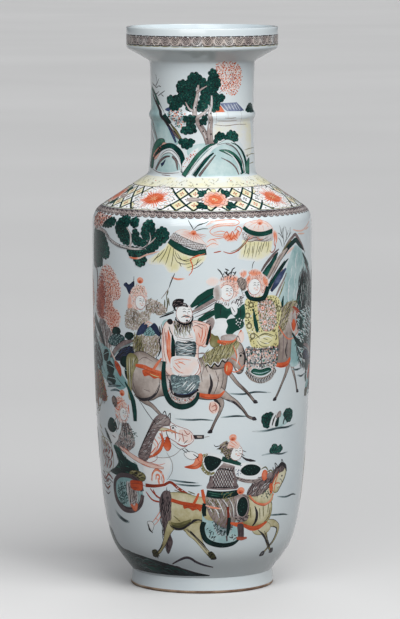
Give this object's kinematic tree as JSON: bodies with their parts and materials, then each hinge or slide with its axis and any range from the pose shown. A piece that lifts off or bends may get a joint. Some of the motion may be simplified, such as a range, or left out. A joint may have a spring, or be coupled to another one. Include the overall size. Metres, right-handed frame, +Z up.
{
  "type": "rouleau vase",
  "caption": "Tall porcelain rouleau vase with a dish mouth, a ribbed straight neck, a sloping shoulder and a long body on a low foot ring, painted in enamels, to stand and hold flowers.",
  "frame": {"origin": "centre of the foot ring's resting edge, on the surface that the vase stands on", "axes": "+Z up along the axis of revolution towards the mouth; -Y is the painted front that the picture shows; +X is its right"},
  "size_m": [0.235, 0.235, 0.6],
  "materials": {
    "porcelain_clay": "unglazed fired porcelain, smooth matt, slightly rusty where bare",
    "luting_slip": "fired slip in the joints",
    "clear_glaze": "glossy bluish-white glaze that carries overglaze enamels"
  },
  "bodies": {
    "root": {"foot_ring": "porcelain_clay", "base_disc": "porcelain_clay", "lower_body": "porcelain_clay", "upper_body": "porcelain_clay", "shoulder": "porcelain_clay", "lower_neck": "porcelain_clay", "neck_rib": "porcelain_clay", "upper_neck": "porcelain_clay", "mouth": "porcelain_clay", "foot_slip": "luting_slip", "base_slip": "luting_slip", "body_slip": "luting_slip", "shoulder_slip": "luting_slip", "neck_slip": "luting_slip", "rib_slip": "luting_slip", "mouth_slip": "luting_slip", "outer_glaze": "clear_glaze", "inner_glaze": "clear_glaze", "base_glaze": "clear_glaze"}
  },
  "joints": []
}
